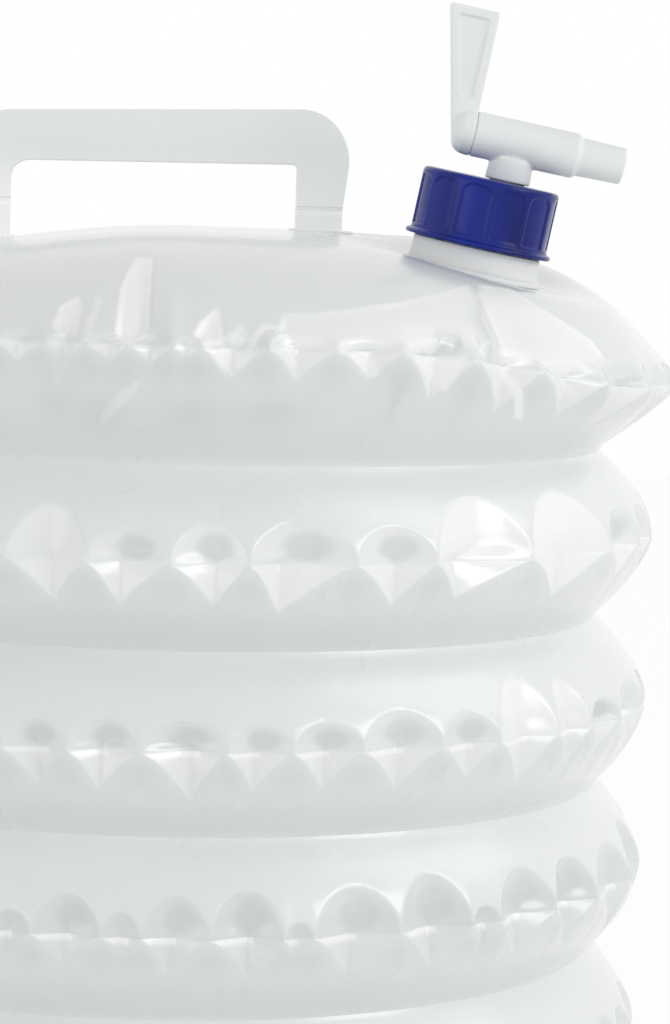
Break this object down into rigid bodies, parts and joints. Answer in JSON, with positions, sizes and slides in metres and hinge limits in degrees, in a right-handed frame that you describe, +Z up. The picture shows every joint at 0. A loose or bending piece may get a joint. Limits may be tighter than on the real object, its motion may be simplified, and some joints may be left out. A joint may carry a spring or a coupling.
{
  "type": "collapsible water carrier",
  "caption": "Accordion-fold water carrier of milky welded film, with a flat strap handle, a blue screw cap on a slanted neck and a white lever tap.",
  "frame": {"origin": "middle of the flat base, on the ground", "axes": "+Z up along the bag's axis, +X towards the spout's side, -Y to the front, where the lever swings when it opens"},
  "size_m": [0.293, 0.293, 0.3643],
  "materials": {
    "film": "thin milky polyethylene film, glossy",
    "handle": "milky polyethylene, satin",
    "spout": "white polyethylene, satin",
    "cap": "deep blue polypropylene, glossy",
    "tap": "white polypropylene, satin gloss",
    "seal": "clear silicone rubber"
  },
  "bodies": {
    "base": {"bottom_film": "film"},
    "neck_5": {"ring_6_upper_film": "film", "ring_5_lower_film": "film"},
    "neck_4": {"ring_5_upper_film": "film", "ring_4_lower_film": "film"},
    "neck_3": {"ring_4_upper_film": "film", "ring_3_lower_film": "film"},
    "neck_2": {"ring_3_upper_film": "film", "ring_2_lower_film": "film"},
    "neck_1": {"ring_2_upper_film": "film", "ring_1_lower_film": "film"},
    "top": {"top_film": "film", "handle_foot_left": "handle", "handle_foot_right": "handle", "spout_neck": "spout"},
    "handle": {"handle_strap": "handle"},
    "cap_seal": {"cap_gasket": "seal"},
    "cap": {"screw_cap": "cap", "tap_body": "tap", "tap_washer": "seal", "tap_lock_nut": "tap"},
    "lever": {"tap_lever": "tap", "plug_seal_rear": "seal", "plug_seal_front": "seal"}
  },
  "joints": [
    {"name": "bellows_fold", "type": "slide", "parent": "base", "child": "neck_5", "axis": [0, 0, 1], "range_m": [-0.04416, 0], "deforming": ["ring_6_upper_film", "bottom_film"]},
    {"name": "neck_4_fold", "type": "slide", "parent": "neck_5", "child": "neck_4", "axis": [0, 0, 1], "range_m": [-0.04416, 0], "deforming": ["ring_5_upper_film", "ring_5_lower_film"]},
    {"name": "neck_3_fold", "type": "slide", "parent": "neck_4", "child": "neck_3", "axis": [0, 0, 1], "range_m": [-0.04416, 0], "deforming": ["ring_4_upper_film", "ring_4_lower_film"]},
    {"name": "neck_2_fold", "type": "slide", "parent": "neck_3", "child": "neck_2", "axis": [0, 0, 1], "range_m": [-0.04416, 0], "deforming": ["ring_3_upper_film", "ring_3_lower_film"]},
    {"name": "neck_1_fold", "type": "slide", "parent": "neck_2", "child": "neck_1", "axis": [0, 0, 1], "range_m": [-0.04416, 0], "deforming": ["ring_2_upper_film", "ring_2_lower_film"]},
    {"name": "top_fold", "type": "slide", "parent": "neck_1", "child": "top", "axis": [0, 0, 1], "range_m": [-0.01748, 0], "deforming": ["ring_1_lower_film"]},
    {"name": "handle_fold", "type": "hinge", "parent": "top", "child": "handle", "pos_m": [-0.006, 0, 0.305], "axis": [1, 0, 0], "range_deg": [-88, 88]},
    {"name": "cap_lift", "type": "slide", "parent": "top", "child": "cap_seal", "axis": [0.1796, -0.031, 0.9833], "range_m": [0, 0.02]},
    {"name": "cap_turn", "type": "hinge", "parent": "cap_seal", "child": "cap", "pos_m": [0.08348, -0.04072, 0.2891], "axis": [0.1796, -0.031, 0.9833], "range_deg": [0, 905]},
    {"name": "lever_turn", "type": "hinge", "parent": "cap", "child": "lever", "pos_m": [0.09453, -0.04189, 0.3262], "axis": [0.9837, 0.0057, -0.1795], "range_deg": [0, 90]}
  ],
  "couplings": [
    {"joint": "neck_4_fold", "follows": "bellows_fold", "ratio": 1},
    {"joint": "neck_3_fold", "follows": "bellows_fold", "ratio": 1},
    {"joint": "neck_2_fold", "follows": "bellows_fold", "ratio": 1},
    {"joint": "neck_1_fold", "follows": "bellows_fold", "ratio": 1},
    {"joint": "top_fold", "follows": "bellows_fold", "ratio": 0.39583},
    {"joint": "cap_turn", "follows": "cap_lift", "rad_per_m": 785.4}
  ]
}
